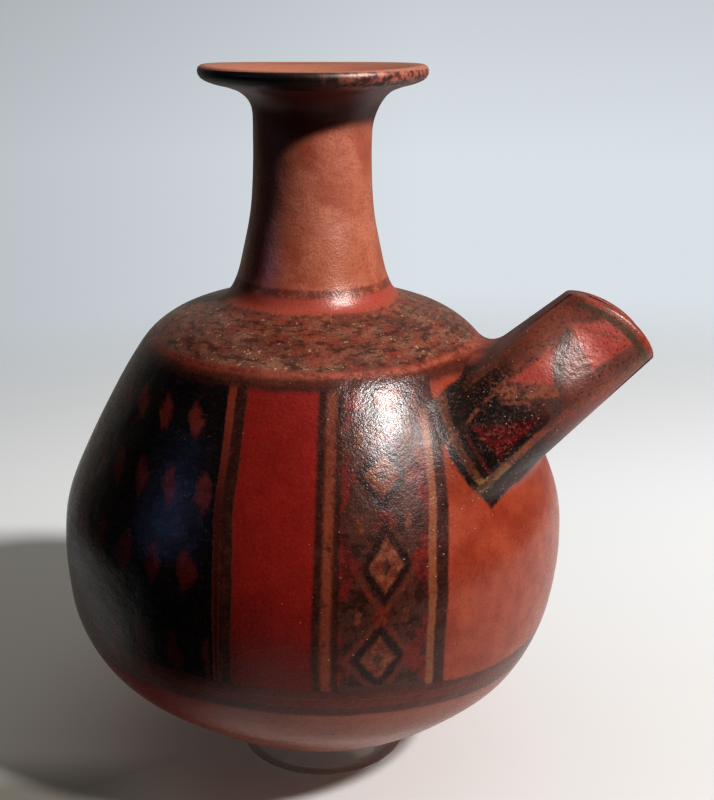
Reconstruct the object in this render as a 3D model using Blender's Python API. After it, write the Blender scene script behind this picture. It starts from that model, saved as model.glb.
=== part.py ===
"""Andean polychrome bottle of the aryballos kind, standing in a clear display ring.

The bottle is one hollow piece of fired clay: a round body with a pointed base, a waisted neck
with a wide flat rim, and one short tubular spout that rises from the shoulder along +X.
The ring is a cut length of clear acrylic tube that holds the pointed base off the table.
Metres, +Z up, the table at z = 0.
"""
import math

import bmesh
import bpy
from mathutils import Vector

# Body: radius and heights of the belly's two curves, and how full each curve is
BELLY_RADIUS = 0.0767
LOWER_HEIGHT = 0.0760
UPPER_HEIGHT = 0.0723
LOWER_FULLNESS = (1.2, 2.75)
UPPER_FULLNESS = (2.79, 1.4)
BODY_WALL = 0.005
BASE_THICKNESS = 0.007

# The hand-built base runs a little out of true towards the spout
BASE_DRIFT = 0.0035
DRIFT_FADE_HEIGHT = 0.060

# Neck: its height above the belly's widest line, its waist and its foot on the shoulder
RIM_RISE = 0.1343
WAIST_DEPTH = 0.0205
NECK_RADIUS = 0.0169
NECK_FOOT_RADIUS = 0.0240
NECK_FOOT_FILLET = 0.0045
NECK_WALL = 0.0045
NECK_SPREAD = 2.2
INNER_FOOT_EASE = 0.002

# Rim
RIM_RADIUS = 0.0338
LIP_THICKNESS = 0.0036
MOUTH_RADIUS = 0.0295
RIM_FLARE = 3.1

# Spout: where its root lies in the body, its slope, length, half sizes and cut end
SPOUT_ROOT_DEPTH = 0.0313
SPOUT_ROOT_RISE = 0.0257
SPOUT_SLOPE = math.radians(44.3)
SPOUT_LENGTH = 0.0620
SPOUT_MOUTH_RADIUS = 0.0138
SPOUT_ROOT_HALF_WIDTH = 0.0445
SPOUT_ROOT_HALF_HEIGHT = 0.0175
SPOUT_SQUARENESS = 2.7
SPOUT_WALL = 0.0045
SPOUT_LIP_ROUND = 0.0012
SPOUT_CUT_UPWARD = math.radians(11.2)
SPOUT_CUT_SIDEWAYS = math.radians(12.0)
SPOUT_CUT_FADE = 0.030

# Display ring and the gap in which the base rests
RING_OUTER_RADIUS = 0.0262
RING_WALL = 0.003
RING_HEIGHT = 0.0099
RING_EDGE = 0.0003
REST_GAP = 0.0003

# Facets; the flare's points crowd towards the neck's waist
TURN_STEPS = 48
LOWER_STEPS = 12
UPPER_STEPS = 10
FILLET_STEPS = 3
NECK_STEPS = 5
FLARE_STEPS = 6
FLARE_CROWDING = 1.8
LIP_STEPS = 4
RING_STEPS = 64
SPOUT_STEPS = 28
SPOUT_SECTIONS = 7
SPOUT_LIP_STEPS = 2
CUTTER_OVERSHOOT = 0.004


def blend(start, end, share):
    return start + (end - start) * share


def smooth_step(share):
    share = min(max(share, 0.0), 1.0)
    return share * share * (3.0 - 2.0 * share)


def lower_drop(radius, belly, height):
    """How far below the widest line the lower curve has this radius."""
    power, fall = LOWER_FULLNESS
    return height * (1.0 - (radius / belly) ** power) ** (1.0 / fall)


def upper_rise(radius, belly, height):
    """How far above the widest line the upper curve has this radius."""
    power, climb = UPPER_FULLNESS
    return height * (1.0 - (radius / belly) ** power) ** (1.0 / climb)


# Heights that follow from the ring, which carries the base on its inner edge
RING_INNER_RADIUS = RING_OUTER_RADIUS - RING_WALL
SEAT_HEIGHT = RING_HEIGHT + REST_GAP
BELLY_Z = SEAT_HEIGHT + lower_drop(RING_INNER_RADIUS, BELLY_RADIUS, LOWER_HEIGHT)
RIM_Z = BELLY_Z + RIM_RISE


def lower_curve(belly, height):
    """Points from the axis out to the widest line."""
    power, fall = LOWER_FULLNESS
    points = []
    for step in range(LOWER_STEPS + 1):
        turn = 0.5 * math.pi * step / LOWER_STEPS
        radius = belly * math.sin(turn) ** (2.0 / power)
        drop = height * max(math.cos(turn), 0.0) ** (2.0 / fall)
        points.append((radius, BELLY_Z - drop))
    points[-1] = (belly, BELLY_Z)
    return points


def upper_curve(belly, height, end_radius):
    """Points from above the widest line up to the radius where the neck's foot begins."""
    power, climb = UPPER_FULLNESS
    last_turn = math.acos((end_radius / belly) ** (power / 2.0))
    points = []
    for step in range(1, UPPER_STEPS + 1):
        turn = last_turn * step / UPPER_STEPS
        radius = belly * math.cos(turn) ** (2.0 / power)
        rise = height * math.sin(turn) ** (2.0 / climb)
        points.append((radius, BELLY_Z + rise))
    return points


def neck_outer(depth):
    """Radius of the neck's outside at a depth below the rim's top."""
    if depth >= WAIST_DEPTH:
        share = (depth - WAIST_DEPTH) / (neck_foot_depth() - WAIST_DEPTH)
        return blend(NECK_RADIUS, NECK_FOOT_RADIUS, share ** NECK_SPREAD)
    share = 1.0 - (depth - LIP_THICKNESS) / (WAIST_DEPTH - LIP_THICKNESS)
    flare_radius = RIM_RADIUS - 0.5 * LIP_THICKNESS
    return blend(NECK_RADIUS, flare_radius, share ** RIM_FLARE)


def neck_inner(depth):
    """Radius of the neck's bore at a depth below the rim's top."""
    if depth >= WAIST_DEPTH:
        return neck_outer(depth) - NECK_WALL
    share = 1.0 - depth / WAIST_DEPTH
    return blend(NECK_RADIUS - NECK_WALL, MOUTH_RADIUS, share ** RIM_FLARE)


def neck_foot_depth():
    return RIM_RISE - upper_rise(NECK_FOOT_RADIUS, BELLY_RADIUS, UPPER_HEIGHT)


def rounded_corner(start, corner, end, steps):
    """A soft corner between two points, drawn as a quadratic curve."""
    points = []
    for step in range(steps + 1):
        share = step / steps
        first = [blend(a, b, share) for a, b in zip(start, corner)]
        second = [blend(a, b, share) for a, b in zip(corner, end)]
        points.append(tuple(blend(a, b, share) for a, b in zip(first, second)))
    return points


def outer_outline():
    """The bottle's outside from the base's point up to the centre of the rim."""
    shoulder_radius = NECK_FOOT_RADIUS + NECK_FOOT_FILLET
    outline = lower_curve(BELLY_RADIUS, LOWER_HEIGHT)
    outline += upper_curve(BELLY_RADIUS, UPPER_HEIGHT, shoulder_radius)
    foot_depth = neck_foot_depth()
    foot = (NECK_FOOT_RADIUS, RIM_Z - foot_depth)
    fillet_depth = foot_depth - NECK_FOOT_FILLET
    fillet_top = (neck_outer(fillet_depth), RIM_Z - fillet_depth)
    outline += rounded_corner(outline[-1], foot, fillet_top, FILLET_STEPS)[1:]
    for step in range(1, NECK_STEPS + 1):
        depth = blend(fillet_depth, WAIST_DEPTH, step / NECK_STEPS)
        outline.append((neck_outer(depth), RIM_Z - depth))
    for step in range(1, FLARE_STEPS + 1):
        share = (1.0 - step / FLARE_STEPS) ** FLARE_CROWDING
        depth = blend(LIP_THICKNESS, WAIST_DEPTH, share)
        outline.append((neck_outer(depth), RIM_Z - depth))
    lip_radius = 0.5 * LIP_THICKNESS
    for step in range(1, LIP_STEPS + 1):
        turn = -0.5 * math.pi + math.pi * step / LIP_STEPS
        across = RIM_RADIUS - lip_radius + lip_radius * math.cos(turn)
        outline.append((across, RIM_Z - lip_radius + lip_radius * math.sin(turn)))
    outline.append((0.0, RIM_Z))
    return outline


def cavity_outline():
    """The hollow inside the body and neck, which runs out past the rim."""
    belly = BELLY_RADIUS - BODY_WALL
    height = UPPER_HEIGHT - BODY_WALL
    foot_radius = NECK_FOOT_RADIUS - NECK_WALL
    outline = lower_curve(belly, LOWER_HEIGHT - BASE_THICKNESS)
    outline += upper_curve(belly, height, foot_radius + INNER_FOOT_EASE)
    foot_depth = neck_foot_depth()
    for step in range(NECK_STEPS + 1):
        depth = blend(foot_depth, WAIST_DEPTH, step / NECK_STEPS)
        outline.append((neck_inner(depth), RIM_Z - depth))
    for step in range(1, FLARE_STEPS + 1):
        depth = WAIST_DEPTH * (1.0 - step / FLARE_STEPS) ** FLARE_CROWDING
        outline.append((neck_inner(depth), RIM_Z - depth))
    outline.append((MOUTH_RADIUS + 0.5 * CUTTER_OVERSHOOT, RIM_Z + CUTTER_OVERSHOOT))
    outline.append((0.0, RIM_Z + CUTTER_OVERSHOOT))
    return outline


def add_object(name, mesh_data, parent):
    """Put closed geometry into a named, smoothly shaded object."""
    bmesh.ops.recalc_face_normals(mesh_data, faces=mesh_data.faces)
    mesh = bpy.data.meshes.new(name)
    mesh_data.to_mesh(mesh)
    mesh_data.free()
    mesh.shade_smooth()
    mesh.set_sharp_from_angle(angle=math.radians(35.0))
    thing = bpy.data.objects.new(name, mesh)
    bpy.context.scene.collection.objects.link(thing)
    thing.parent = parent
    return thing


def turned_form(name, outline, parent):
    """Turn an outline about the bottle's axis, then let its base drift towards the spout."""
    form = bmesh.new()
    points = [form.verts.new((radius, 0.0, height)) for radius, height in outline]
    edges = [form.edges.new(pair) for pair in zip(points, points[1:])]
    bmesh.ops.spin(form, geom=points + edges, cent=(0.0, 0.0, 0.0), axis=(0.0, 0.0, 1.0),
                   angle=2.0 * math.pi, steps=TURN_STEPS, use_merge=True)
    bmesh.ops.remove_doubles(form, verts=form.verts, dist=0.000001)
    for vert in form.verts:
        fade = (vert.co.z - SEAT_HEIGHT) / (DRIFT_FADE_HEIGHT - SEAT_HEIGHT)
        vert.co.x += BASE_DRIFT * (1.0 - smooth_step(fade))
    return add_object(name, form, parent)


def spout_axis_point(back):
    """A point on the spout's axis, a distance back from the centre of its mouth."""
    along = SPOUT_LENGTH - back
    root_x = BELLY_RADIUS - SPOUT_ROOT_DEPTH
    root_z = BELLY_Z + SPOUT_ROOT_RISE
    return Vector((root_x + along * math.cos(SPOUT_SLOPE), 0.0,
                   root_z + along * math.sin(SPOUT_SLOPE)))


def spout_section(back, inset, end_shift=0.0):
    """One rounded cross-section of the spout; near the mouth it leans as the end is cut."""
    share = back / SPOUT_LENGTH
    half_width = blend(SPOUT_MOUTH_RADIUS, SPOUT_ROOT_HALF_WIDTH, share) - inset
    half_height = blend(SPOUT_MOUTH_RADIUS, SPOUT_ROOT_HALF_HEIGHT, share) - inset
    lean = max(0.0, 1.0 - max(back, 0.0) / SPOUT_CUT_FADE)
    forward = Vector((math.cos(SPOUT_SLOPE), 0.0, math.sin(SPOUT_SLOPE)))
    upward = Vector((-math.sin(SPOUT_SLOPE), 0.0, math.cos(SPOUT_SLOPE)))
    centre = spout_axis_point(back) + forward * end_shift
    power = 2.0 / SPOUT_SQUARENESS
    points = []
    for step in range(SPOUT_STEPS):
        turn = 2.0 * math.pi * step / SPOUT_STEPS
        across = half_width * math.copysign(abs(math.cos(turn)) ** power, math.cos(turn))
        height = half_height * math.copysign(abs(math.sin(turn)) ** power, math.sin(turn))
        slide = -height * math.tan(SPOUT_CUT_UPWARD) - across * math.tan(SPOUT_CUT_SIDEWAYS)
        points.append(centre + upward * height + Vector((0.0, across, 0.0))
                      + forward * slide * lean)
    return points


def lofted_form(name, sections, parent):
    """Join cross-sections into one closed tube-like solid with flat ends."""
    form = bmesh.new()
    loops = [[form.verts.new(point) for point in section] for section in sections]
    for first, second in zip(loops, loops[1:]):
        for index in range(len(first)):
            after = (index + 1) % len(first)
            form.faces.new((first[index], first[after], second[after], second[index]))
    form.faces.new(loops[0])
    form.faces.new(loops[-1])
    return add_object(name, form, parent)


def spout_lip_sections():
    corner = rounded_corner((SPOUT_LIP_ROUND, 0.0), (0.0, 0.0), (0.0, SPOUT_LIP_ROUND),
                            SPOUT_LIP_STEPS)
    return [spout_section(back, inset) for back, inset in corner]


def spout_form(parent):
    """The spout's outside, from its root inside the body to its rounded lip."""
    backs = [SPOUT_LENGTH * (1.0 - step / SPOUT_SECTIONS) for step in range(SPOUT_SECTIONS)]
    sections = [spout_section(back, 0.0) for back in backs]
    return lofted_form("spout_form", sections + spout_lip_sections(), parent)


def spout_bore(parent):
    """The hollow inside the spout, from the body's hollow out past the lip."""
    backs = [SPOUT_LENGTH * (1.0 - step / SPOUT_SECTIONS) for step in range(SPOUT_SECTIONS + 1)]
    sections = [spout_section(back, SPOUT_WALL) for back in backs]
    sections.append(spout_section(0.0, SPOUT_WALL - SPOUT_LIP_ROUND, CUTTER_OVERSHOOT))
    return lofted_form("spout_bore", sections, parent)


def apply_cutter(target, cutter, operation):
    modifier = target.modifiers.new(cutter.name, "BOOLEAN")
    modifier.operation = operation
    modifier.solver = "EXACT"
    modifier.object = cutter
    cutter.hide_render = True
    cutter.display_type = "WIRE"


def make_vessel(parent):
    vessel = turned_form("vessel", outer_outline(), parent)
    apply_cutter(vessel, spout_form(parent), "UNION")
    apply_cutter(vessel, turned_form("body_hollow", cavity_outline(), parent), "DIFFERENCE")
    apply_cutter(vessel, spout_bore(parent), "DIFFERENCE")
    return vessel


def make_stand_ring(parent):
    """A cut length of clear tube with slightly broken edges, under the base's point."""
    inner = RING_INNER_RADIUS
    outer = RING_OUTER_RADIUS
    edge = RING_EDGE
    outline = [(inner + edge, 0.0), (outer - edge, 0.0), (outer, edge),
               (outer, RING_HEIGHT - edge), (outer - edge, RING_HEIGHT),
               (inner + edge, RING_HEIGHT), (inner, RING_HEIGHT - edge), (inner, edge)]
    form = bmesh.new()
    loops = []
    for step in range(RING_STEPS):
        turn = 2.0 * math.pi * step / RING_STEPS
        loops.append([form.verts.new((BASE_DRIFT + radius * math.cos(turn),
                                      radius * math.sin(turn), height))
                      for radius, height in outline])
    for step in range(RING_STEPS):
        first = loops[step]
        second = loops[(step + 1) % RING_STEPS]
        for index in range(len(outline)):
            after = (index + 1) % len(outline)
            form.faces.new((first[index], second[index], second[after], first[after]))
    return add_object("stand_ring", form, parent)


def make_material(name, colour, roughness, **values):
    material = bpy.data.materials.new(name)
    material.use_nodes = True
    shader = material.node_tree.nodes["Principled BSDF"]
    shader.inputs["Base Color"].default_value = (*colour, 1.0)
    shader.inputs["Roughness"].default_value = roughness
    shader.inputs["Metallic"].default_value = 0.0
    for socket, value in values.items():
        shader.inputs[socket.replace("_", " ")].default_value = value
    material.diffuse_color = (*colour, values.get("Alpha", 1.0))
    return material


def clear_scene():
    for thing in list(bpy.data.objects):
        bpy.data.objects.remove(thing, do_unlink=True)


def main():
    clear_scene()
    axis = bpy.data.objects.new("bottle_axis", None)
    bpy.context.scene.collection.objects.link(axis)
    reach = max(point.x for section in spout_lip_sections() for point in section)
    axis.location.x = 0.5 * (BELLY_RADIUS - reach)
    vessel = make_vessel(axis)
    vessel.data.materials.append(make_material("slipped_clay", (0.30, 0.055, 0.035), 0.42))
    ring = make_stand_ring(axis)
    ring.data.materials.append(make_material("clear_acrylic", (0.93, 0.96, 0.97), 0.06,
                                             IOR=1.49, Transmission_Weight=1.0))


main()
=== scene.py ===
import functools
import math
import operator

import bmesh
import bpy
import numpy as np
from mathutils import Matrix, Vector


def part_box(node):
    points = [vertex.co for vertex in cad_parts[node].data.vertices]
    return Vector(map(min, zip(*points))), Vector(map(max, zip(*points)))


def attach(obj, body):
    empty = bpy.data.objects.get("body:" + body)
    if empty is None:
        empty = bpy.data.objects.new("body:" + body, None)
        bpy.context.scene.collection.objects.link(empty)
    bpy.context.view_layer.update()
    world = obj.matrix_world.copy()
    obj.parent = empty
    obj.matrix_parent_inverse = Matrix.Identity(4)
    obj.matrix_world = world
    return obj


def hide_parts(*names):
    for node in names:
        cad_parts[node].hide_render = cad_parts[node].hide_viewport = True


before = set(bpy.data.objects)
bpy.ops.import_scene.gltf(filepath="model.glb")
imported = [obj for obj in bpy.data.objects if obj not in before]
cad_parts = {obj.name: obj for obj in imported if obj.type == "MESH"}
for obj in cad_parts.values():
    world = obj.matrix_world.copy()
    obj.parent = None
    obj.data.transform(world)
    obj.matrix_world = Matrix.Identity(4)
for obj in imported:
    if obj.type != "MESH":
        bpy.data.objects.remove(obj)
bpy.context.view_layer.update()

ring_low, ring_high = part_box("stand_ring")
vessel_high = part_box("vessel")[1]

# Where the bottle stands: its axis, the rim's top, and how far the base runs out of true
BASE_DRIFT = 0.0035
BOTTLE_X = 0.5 * (ring_low.x + ring_high.x) - BASE_DRIFT
RIM_TOP = vessel_high.z
DRIFT_LOW, DRIFT_HIGH = ring_high.z, 0.060

# The wall's outside: radius and depth below the rim's top in millimetres, base to lip
OUTSIDE = [(0.0, 210.2), (8.0, 208.4), (16.0, 205.9), (23.2, 203.0), (33.0, 198.8),
           (44.4, 192.7), (54.9, 184.6), (65.6, 174.3), (73.4, 160.0), (76.1, 146.0),
           (76.5, 136.0), (75.4, 125.0), (69.1, 108.7), (61.4, 94.3), (54.8, 84.0),
           (49.0, 76.6), (42.2, 71.8), (36.0, 69.3), (29.6, 67.4), (25.2, 65.0),
           (22.4, 60.0), (20.1, 51.0), (18.1, 41.0), (17.3, 30.8), (17.1, 20.5),
           (17.4, 14.4), (18.7, 10.2), (21.3, 7.4), (25.2, 5.8), (29.2, 4.8),
           (31.8, 3.6), (32.7, 2.2), (32.6, 0.9), (32.0, 0.1), (30.6, 0.0)]

# The wall's inside, from the lip down to the bottom of the hollow
INSIDE = [(30.6, 0.0), (28.8, 0.3), (24.8, 1.9), (20.0, 4.8), (15.8, 9.6), (13.3, 15.4),
          (12.4, 22.0), (12.7, 31.0), (13.8, 41.0), (16.1, 51.3), (18.6, 60.0),
          (21.6, 66.4), (27.4, 70.8), (34.0, 73.6), (40.2, 76.8), (46.0, 81.2),
          (51.3, 87.4), (57.4, 97.4), (64.4, 110.9), (70.2, 125.6), (71.4, 136.0),
          (71.0, 146.0), (68.5, 158.6), (61.4, 171.4), (51.4, 180.9), (41.5, 188.1),
          (30.0, 194.4), (18.0, 199.4), (8.0, 202.4), (0.0, 203.4)]

# How far the profile's corners are eased, and the lip's share that keeps its own shape
WALL_SOFTNESS = 0.0014
LIP_KEPT, LIP_EASE = 0.007, 0.010
FLARE_HEIGHT = 0.012

# The hand-built wall strays from round in waves: size, number around, start, twist by height
SWELLS = [(0.0040, 2.0, 1.2, 9.0), (0.0028, 3.0, -0.8, 26.0), (0.0014, 7.0, 0.5, 45.0)]
FLAT_SIDE, HIGH_SIDE = math.radians(-160.0), math.radians(20.0)

# Spout: centre of its mouth from the axis and below the rim, slope, taper and wall
SPOUT_REACH, SPOUT_DEPTH = 0.0895, 0.0652
SPOUT_SLOPE = math.radians(44.3)
SPOUT_LENGTH = 0.0620
SPOUT_MOUTH_HALF = 0.0142
SPOUT_ROOT_HALF_WIDTH, SPOUT_ROOT_HALF_HEIGHT = 0.0445, 0.0180
SPOUT_SQUARENESS = 2.6
SPOUT_WALL = 0.0045
SPOUT_LIP = 0.0009
OUTER_FILLET, INNER_FILLET = 0.0085, 0.0050

# Its hand-cut end: how it slants sideways and upward, is hollowed, and fades along the spout
CUT_START, CUT_SIDEWAYS, CUT_UPWARD, CUT_HOLLOW = -0.0018, 0.24, 0.20, 21.0
CUT_FADE = 0.030

# Mesh fineness: columns around, rows of each stretch of wall, rings on the spout and its lip
COLUMNS = 192
LOW_ROWS, RIM_ROWS, THROAT_ROWS, FLOOR_ROWS = 72, 96, 62, 46
OUTER_RINGS, INNER_RINGS, LIP_RINGS = 50, 34, 10

# The patch of wall that the spout takes the place of
PATCH_HALF_COLUMNS = 27
PATCH_ROWS = 40
OUTER_PATCH = (0.088, 0.1405)
INNER_PATCH = (0.090, 0.1345)

# The clear ring's wall and the rounding of its edges
RING_WALL, RING_EDGE, RING_SIDES = 0.003, 0.0004, 160

# The camera: its turn and distance from the bottle's axis, its height, dip and framing
VIEW_SINE, VIEW_COSINE = 0.342, 0.940
CAMERA_TURN, CAMERA_DIP = math.radians(-70.0), math.radians(17.81)
CAMERA_DISTANCE, CAMERA_ABOVE_RIM = 0.369, 0.0197
FRAME_PIXELS, FOCAL_PIXELS, SHIFT_PIXELS = 800.0, 1269.2, 44.7
FILM_HEIGHT = 36.0

# Fineness of the lines on which the profile and the spout's rings are worked out
PROFILE_POINTS, STATION_POINTS = 1200, 24
SEEK_POINTS, BODY_POINTS, SPOUT_POINTS = 500, 30, 60
SMALL_STEP = 0.0001

# How far from the join, in millimetres, the clay still knows of it, and where to look for it
JOIN_REACH = 40.0
JOIN_X, JOIN_LOW, JOIN_HIGH = 0.02, 0.07, 0.17


# ---- the clay wall ----

def run_length(points):
    """Distance along a line of points, from nought at its start."""
    return np.concatenate([[0.0], np.cumsum(np.linalg.norm(np.diff(points, axis=0), axis=1))])


def even_run(line, count):
    """The same line with points at even spacing along it."""
    length = run_length(line)
    place = np.linspace(0.0, length[-1], count)
    return np.column_stack([np.interp(place, length, values) for values in line.T])


def smooth_run(stations):
    """A dense, even line through the stations, softened away from the lip."""
    points = np.array(stations) * 0.001
    knots = np.concatenate([[0.0], np.cumsum(np.sqrt(np.hypot(*np.diff(points, axis=0).T)))])
    gaps = np.diff(knots)[:, None]
    steps = np.diff(points, axis=0) / gaps
    slopes = np.zeros_like(points)
    slopes[1:-1] = (steps[1:] * gaps[:-1] + steps[:-1] * gaps[1:]) / (gaps[:-1] + gaps[1:])
    for end in (0, -1):
        main = np.argmax(abs(steps[end]))
        slopes[end, main] = steps[end][main]
    share = np.linspace(0.0, 1.0, STATION_POINTS, endpoint=False)[:, None]
    line = [start * (1 + 2 * share) * (1 - share) ** 2 + leaving * gap * share * (1 - share) ** 2
            + end * share ** 2 * (3 - 2 * share) + arriving * gap * share ** 2 * (share - 1)
            for start, end, leaving, arriving, gap
            in zip(points, points[1:], slopes, slopes[1:], gaps)]
    line.append(points[-1:])
    line = even_run(np.concatenate(line), PROFILE_POINTS)
    soft = line.copy()
    spacing = np.diff(run_length(line)).mean()
    for _ in range(int(2.0 * (WALL_SOFTNESS / spacing) ** 2)):
        soft[1:-1] = 0.25 * soft[:-2] + 0.5 * soft[1:-1] + 0.25 * soft[2:]
    eased = np.clip((line[:, 1:] - LIP_KEPT) / LIP_EASE, 0.0, 1.0)
    line = line * (1.0 - eased) + soft * eased
    return np.column_stack([line[:, 0], RIM_TOP - line[:, 1]])


def part_of_run(line, low, high):
    """The stretch of a rising line between two heights, ends included."""
    inside = line[(line[:, 1] > low) & (line[:, 1] < high)]
    ends = [(np.interp(height, line[:, 1], line[:, 0]), height) for height in (low, high)]
    return np.concatenate([[ends[0]], inside, [ends[1]]])


def hand_swell(turn, height):
    """How far the hand-built wall strays from round, as a factor on its radius."""
    swell = 1.0
    for size, number, start, twist in SWELLS:
        swell = swell + size * np.cos(number * turn + start + twist * height)
    left = (0.5 + 0.5 * np.cos(turn - FLAT_SIDE)) ** 2
    return swell + left * (0.045 * np.exp(-((height - 0.034) / 0.020) ** 2)
                           - 0.026 * np.exp(-((height - 0.112) / 0.026) ** 2))


def clay_points(radius, turn, height):
    """Points on the turned wall, with the base's drift and the rim's unevenness."""
    fade = np.clip((height - DRIFT_LOW) / (DRIFT_HIGH - DRIFT_LOW), 0.0, 1.0)
    drift = BASE_DRIFT * (1.0 - fade * fade * (3.0 - 2.0 * fade))
    depth = RIM_TOP - height
    lift = (0.0003 * np.cos(2.0 * (turn - HIGH_SIDE))
            + 0.00035 * np.cos(turn + math.radians(70.0)) + 0.0001)
    lean = 0.0009 * np.exp(-((depth - 0.0095) / 0.005) ** 2) * np.cos(turn - HIGH_SIDE)
    reach = radius * hand_swell(turn, height) + lean
    return np.stack([BOTTLE_X + drift + reach * np.cos(turn), reach * np.sin(turn),
                     height + lift * np.exp(-(depth / 0.009) ** 2)], axis=-1)


SIDEWAYS = np.array([0.0, 1.0, 0.0])
FORWARD = np.array([math.cos(SPOUT_SLOPE), 0.0, math.sin(SPOUT_SLOPE)])
UPWARD = np.array([-math.sin(SPOUT_SLOPE), 0.0, math.cos(SPOUT_SLOPE)])
SPOUT_MOUTH = np.array([BOTTLE_X + SPOUT_REACH, 0.0, RIM_TOP - SPOUT_DEPTH])


def spout_halves(back, inset):
    """Half the spout's width and height at a distance back from its mouth."""
    share = back / SPOUT_LENGTH
    return [SPOUT_MOUTH_HALF + (root - SPOUT_MOUTH_HALF) * share - inset
            for root in (SPOUT_ROOT_HALF_WIDTH, SPOUT_ROOT_HALF_HEIGHT)]


def spout_gap(points, inset):
    """Distance outside the spout's wall, below nought inside it."""
    offset = points - SPOUT_MOUTH
    half_width, half_height = spout_halves(-(offset @ FORWARD), inset)
    power = SPOUT_SQUARENESS
    rise = offset @ UPWARD
    total = (abs(offset[..., 1] / half_width) ** power
             + abs(rise / half_height) ** power + 1e-9) ** (1.0 / power)
    return np.hypot(offset[..., 1], rise) * (1.0 - 1.0 / total)


def body_gap(points, run):
    """Distance outside the turned wall, below nought inside it."""
    across = points[..., 0] - BOTTLE_X
    turn = np.arctan2(points[..., 1], across)
    radius = np.interp(points[..., 2], run[:, 1], run[:, 0])
    swollen = radius * hand_swell(turn, points[..., 2])
    return 0.8 * (np.hypot(across, points[..., 1]) - swollen)


def joined_gap(points, run, inset, fillet):
    """Distance outside body and spout together; the fillet is soft above, tight below."""
    spout = spout_gap(points, inset)
    body = body_gap(points, run)
    above = np.clip(((points - SPOUT_MOUTH) @ UPWARD + 0.012) / 0.026, 0.0, 1.0)
    fillet = fillet * (0.35 + 0.65 * above)
    share = np.clip(0.5 + 0.5 * (body - spout) / fillet, 0.0, 1.0)
    return body * (1 - share) + spout * share - fillet * share * (1 - share)


def settle(points, run, inset, fillet, rounds):
    """Move points straight onto the joined wall."""
    for _ in range(rounds):
        gap = joined_gap(points, run, inset, fillet)
        slope = np.stack([joined_gap(points + SMALL_STEP * axis, run, inset, fillet)
                          - joined_gap(points - SMALL_STEP * axis, run, inset, fillet)
                          for axis in np.eye(3)], axis=-1) / (2.0 * SMALL_STEP)
        size = np.maximum((slope ** 2).sum(axis=-1, keepdims=True), 0.05)
        points = points - gap[..., None] * slope / size
    return points


def spout_outline(turn, half_width, half_height):
    """The spout's rounded-square section: places across it and up it."""
    power = 2.0 / SPOUT_SQUARENESS
    return np.stack([half * np.sign(wave) * abs(wave) ** power for half, wave in
                     ((half_width, np.cos(turn)), (half_height, np.sin(turn)))], axis=-1)


def spout_turns():
    """Angles around the spout's section, one for each point on the patch's edge."""
    turns = []
    for side, count in enumerate([2 * PATCH_HALF_COLUMNS, PATCH_ROWS] * 2):
        turn = np.radians(225.0 + 90.0 * side + np.linspace(0.0, 90.0, 200))
        length = run_length(spout_outline(turn, *spout_halves(0.030, 0.0)))
        turns.append(np.interp(np.arange(count) / count * length[-1], length, turn))
    return np.concatenate(turns)


def spout_point(turn, back, inset):
    """Points on the spout's wall; near the mouth they lean as its end is cut."""
    lean = np.clip(1.0 - back / CUT_FADE, 0.0, 1.0)
    place = back
    for _ in range(3):
        outline = spout_outline(turn, *spout_halves(place, inset))
        across, rise = outline[..., 0], outline[..., 1]
        cut = CUT_START + CUT_SIDEWAYS * across + CUT_UPWARD * rise + CUT_HOLLOW * rise ** 2
        place = back + cut * lean
    return (SPOUT_MOUTH - place[..., None] * FORWARD + rise[..., None] * UPWARD
            + across[..., None] * SIDEWAYS)


def patch_edge(first_row, step):
    """Row and column of each point around the patch, starting low on the spout's -Y side."""
    middle = COLUMNS // 2
    left, right = middle - PATCH_HALF_COLUMNS, middle + PATCH_HALF_COLUMNS
    low, high = first_row, first_row + step * PATCH_ROWS
    places = [(low, column) for column in range(left, right)]
    places += [(row, right) for row in range(low, high, step)]
    places += [(high, column) for column in range(right, left, -1)]
    places += [(row, left) for row in range(high, low, -step)]
    return places


def spout_patch(wall, places, run, inset, fillet, rows):
    """Rings of points that run from the patch's edge over the fillet and along the spout."""
    turns = spout_turns()[:, None]
    count = len(turns)
    edge = np.array([wall[place] for place in places])
    backs = np.linspace(SPOUT_LENGTH, 0.0, SEEK_POINTS)
    lines = spout_point(turns, np.broadcast_to(backs, (count, SEEK_POINTS)), inset)
    sunk = body_gap(lines, run) <= 0.0
    first = SEEK_POINTS - 1 - np.argmax(sunk[:, ::-1], axis=1)
    foot = lines[np.arange(count), first]
    share = np.linspace(0.0, 1.0, BODY_POINTS, endpoint=False)
    turn = np.stack([np.arctan2(end[:, 1], end[:, 0] - BOTTLE_X) for end in (edge, foot)])
    turn = turn[0][:, None] * (1 - share) + turn[1][:, None] * share
    height = edge[:, 2:] * (1 - share) + foot[:, 2:] * share
    on_body = clay_points(np.interp(height, run[:, 1], run[:, 0]), turn, height)
    share = np.linspace(0.0, 1.0, SPOUT_POINTS)
    back = backs[first][:, None] * (1 - share) + SPOUT_LIP * share
    paths = np.concatenate([on_body, spout_point(turns, back, inset)], axis=1)
    grid = np.stack([even_run(path, rows + 1) for path in paths], axis=1)
    grid[0] = edge
    free = slice(1, rows - 4)
    grid[free] = settle(grid[free], run, inset, fillet, 8)
    for _ in range(8):
        around = 0.5 * (np.roll(grid, 1, axis=1) + np.roll(grid, -1, axis=1))
        along = grid.copy()
        along[1:-1] = 0.5 * (grid[2:] + grid[:-2])
        eased = 0.5 * grid + 0.25 * around + 0.25 * along
        grid[free] = settle(eased[free], run, inset, fillet, 3)
    return grid


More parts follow.
